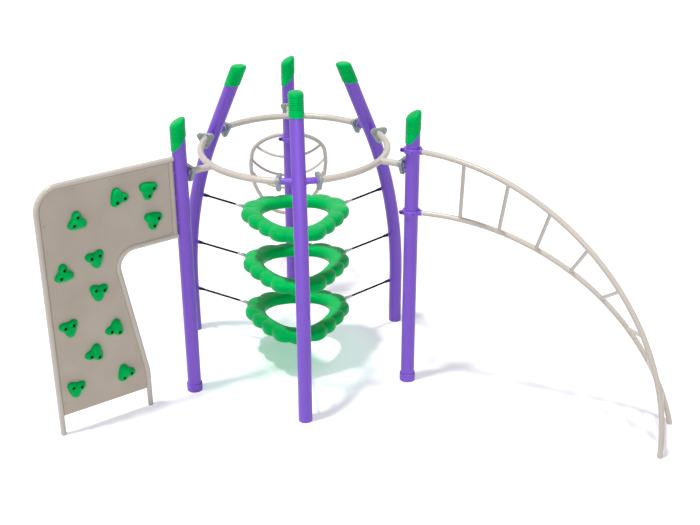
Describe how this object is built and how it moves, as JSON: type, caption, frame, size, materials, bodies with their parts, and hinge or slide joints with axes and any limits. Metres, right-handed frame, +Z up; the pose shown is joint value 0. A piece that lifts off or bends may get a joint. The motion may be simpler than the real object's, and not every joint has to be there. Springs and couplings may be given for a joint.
{
  "type": "playground climber",
  "caption": "Playground climber: bent and straight tube posts carry a top ring, a climbing wall, an arched ladder, a looped climber and moulded rings hung on taut ropes.",
  "frame": {"origin": "centre of the circle of posts, on the ground", "axes": "+Z up, -Y towards the front bent post, +X towards the side with the arched ladder"},
  "size_m": [5.4846, 4.3544, 2.8938],
  "materials": {
    "purple_paint": "satin powder coat",
    "beige_paint": "satin powder coat",
    "beige_sheet": "matte powder coat",
    "green_plastic": "satin moulded",
    "grey_casting": "cast, tumbled",
    "zinc_steel": "zinc plated",
    "black_rope": "braided"
  },
  "bodies": {
    "frame": {"bent_post_front": "purple_paint", "bent_post_right": "purple_paint", "bent_post_left": "purple_paint", "straight_post_left": "purple_paint", "straight_post_right": "purple_paint", "straight_post_back": "purple_paint", "foot_sleeves": "purple_paint", "cap_bent_front": "green_plastic", "cap_bent_right": "green_plastic", "cap_bent_left": "green_plastic", "cap_straight_left": "green_plastic", "cap_straight_right": "green_plastic", "cap_straight_back": "green_plastic", "ring_arc_left": "beige_paint", "ring_arc_right": "beige_paint", "ring_arc_back": "beige_paint", "arc_flanges": "grey_casting", "post_flanges": "grey_casting", "flange_bolts": "zinc_steel", "wall_tube_outer": "beige_paint", "wall_tube_inner": "beige_paint", "wall_upright": "beige_paint", "wall_standoffs": "purple_paint", "wall_sheet": "beige_sheet", "sheet_tabs": "beige_paint", "sheet_bolts": "zinc_steel", "climbing_holds": "green_plastic", "hold_bolts": "zinc_steel", "ladder_rail_upper": "beige_paint", "ladder_rail_lower": "beige_paint", "ladder_rungs": "beige_paint", "loop_rail": "beige_paint", "loop_rungs_bowed": "beige_paint", "loop_leg": "beige_paint", "clamp_collars": "purple_paint", "collar_bolts": "zinc_steel"},
    "top_ring": {"hanging_ring_top": "green_plastic", "eye_plates_top": "zinc_steel"},
    "middle_ring": {"hanging_ring_middle": "green_plastic", "eye_plates_middle": "zinc_steel"},
    "low_ring": {"hanging_ring_low": "green_plastic", "eye_plates_low": "zinc_steel"},
    "line_top_front": {"rope_top_front": "black_rope", "shackle_top_front": "zinc_steel"},
    "line_top_right": {"rope_top_right": "black_rope", "shackle_top_right": "zinc_steel"},
    "line_top_left": {"rope_top_left": "black_rope", "shackle_top_left": "zinc_steel"},
    "line_middle_front": {"rope_middle_front": "black_rope", "shackle_middle_front": "zinc_steel"},
    "line_middle_right": {"rope_middle_right": "black_rope", "shackle_middle_right": "zinc_steel"},
    "line_middle_left": {"rope_middle_left": "black_rope", "shackle_middle_left": "zinc_steel"},
    "line_low_front": {"rope_low_front": "black_rope", "shackle_low_front": "zinc_steel"},
    "line_low_right": {"rope_low_right": "black_rope", "shackle_low_right": "zinc_steel"},
    "line_low_left": {"rope_low_left": "black_rope", "shackle_low_left": "zinc_steel"}
  },
  "joints": [
    {"name": "top_ring_bounce", "type": "slide", "parent": "frame", "child": "top_ring", "axis": [0, 0, 1], "range_m": [-0.02, 0.02], "stiffness_N_per_m": 40000, "springref_m": 0.0103},
    {"name": "middle_ring_bounce", "type": "slide", "parent": "frame", "child": "middle_ring", "axis": [0, 0, 1], "range_m": [-0.02, 0.02], "stiffness_N_per_m": 40000, "springref_m": 0.0103},
    {"name": "low_ring_bounce", "type": "slide", "parent": "frame", "child": "low_ring", "axis": [0, 0, 1], "range_m": [-0.02, 0.02], "stiffness_N_per_m": 40000, "springref_m": 0.0103},
    {"name": "line_top_front_swing", "type": "hinge", "parent": "frame", "child": "line_top_front", "pos_m": [0, -0.98801, 1.532], "axis": [1, 0, 0], "range_deg": [-3, 3]},
    {"name": "line_top_right_swing", "type": "hinge", "parent": "frame", "child": "line_top_right", "pos_m": [0.85564, 0.494, 1.532], "axis": [-0.5, 0.866, 0], "range_deg": [-3, 3]},
    {"name": "line_top_left_swing", "type": "hinge", "parent": "frame", "child": "line_top_left", "pos_m": [-0.85564, 0.494, 1.532], "axis": [-0.5, -0.866, 0], "range_deg": [-3, 3]},
    {"name": "line_middle_front_swing", "type": "hinge", "parent": "frame", "child": "line_middle_front", "pos_m": [0, -1.08429, 1.007], "axis": [1, 0, 0], "range_deg": [-2.4, 2.4]},
    {"name": "line_middle_right_swing", "type": "hinge", "parent": "frame", "child": "line_middle_right", "pos_m": [0.93902, 0.54215, 1.007], "axis": [-0.5, 0.866, 0], "range_deg": [-2.4, 2.4]},
    {"name": "line_middle_left_swing", "type": "hinge", "parent": "frame", "child": "line_middle_left", "pos_m": [-0.93902, 0.54215, 1.007], "axis": [-0.5, -0.866, 0], "range_deg": [-2.4, 2.4]},
    {"name": "line_low_front_swing", "type": "hinge", "parent": "frame", "child": "line_low_front", "pos_m": [0, -1.1105, 0.482], "axis": [1, 0, 0], "range_deg": [-2.3, 2.3]},
    {"name": "line_low_right_swing", "type": "hinge", "parent": "frame", "child": "line_low_right", "pos_m": [0.96172, 0.55525, 0.482], "axis": [-0.5, 0.866, 0], "range_deg": [-2.3, 2.3]},
    {"name": "line_low_left_swing", "type": "hinge", "parent": "frame", "child": "line_low_left", "pos_m": [-0.96172, 0.55525, 0.482], "axis": [-0.5, -0.866, 0], "range_deg": [-2.3, 2.3]}
  ],
  "couplings": [
    {"joint": "line_top_front_swing", "follows": "top_ring_bounce", "rad_per_m": 2.4509},
    {"joint": "line_top_right_swing", "follows": "top_ring_bounce", "rad_per_m": 2.4509},
    {"joint": "line_top_left_swing", "follows": "top_ring_bounce", "rad_per_m": 2.4509},
    {"joint": "line_middle_front_swing", "follows": "middle_ring_bounce", "rad_per_m": 1.983},
    {"joint": "line_middle_right_swing", "follows": "middle_ring_bounce", "rad_per_m": 1.983},
    {"joint": "line_middle_left_swing", "follows": "middle_ring_bounce", "rad_per_m": 1.983},
    {"joint": "line_low_front_swing", "follows": "low_ring_bounce", "rad_per_m": 1.885},
    {"joint": "line_low_right_swing", "follows": "low_ring_bounce", "rad_per_m": 1.885},
    {"joint": "line_low_left_swing", "follows": "low_ring_bounce", "rad_per_m": 1.885}
  ]
}
